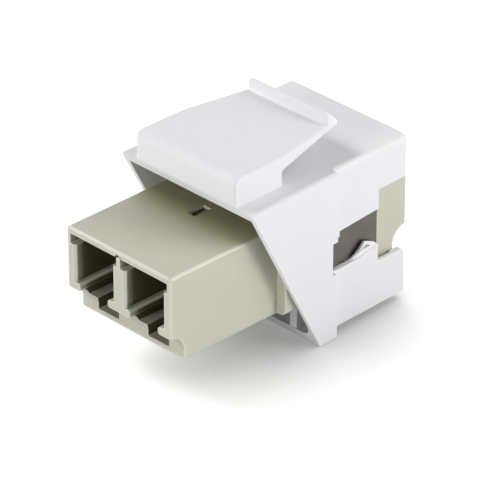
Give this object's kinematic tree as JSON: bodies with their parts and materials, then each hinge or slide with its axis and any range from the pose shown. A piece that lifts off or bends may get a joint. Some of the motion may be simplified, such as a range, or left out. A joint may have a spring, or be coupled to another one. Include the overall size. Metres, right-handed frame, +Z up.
{
  "type": "lc fibre adapter",
  "caption": "Duplex LC fibre coupler in a keystone snap-in frame: plug ports at both ends, ceramic split sleeves inside, a sprung latch on top.",
  "frame": {"origin": "under the middle of the coupler body, in the plane of the foot's underside", "axes": "+X across the two ports, +Y along the fibres from the cable side to the keystone face, +Z up with the latch on top"},
  "size_m": [0.0162, 0.0288, 0.0205],
  "materials": {
    "white_plastic": "satin moulded",
    "beige_plastic": "satin moulded",
    "spring_steel": "rolled",
    "white_ceramic": "polished"
  },
  "bodies": {
    "coupler": {"keystone_frame": "white_plastic", "port_housing": "beige_plastic", "face_housing": "beige_plastic", "retaining_clip": "spring_steel", "split_sleeve_left": "white_ceramic", "split_sleeve_right": "white_ceramic"},
    "latch": {"keystone_latch": "white_plastic"}
  },
  "joints": [
    {"name": "latch_flex", "type": "hinge", "parent": "coupler", "child": "latch", "pos_m": [0, -0.00049, 0.01868], "axis": [1, 0, 0], "range_deg": [-10, 0], "stiffness_Nm_per_rad": 0.4}
  ]
}
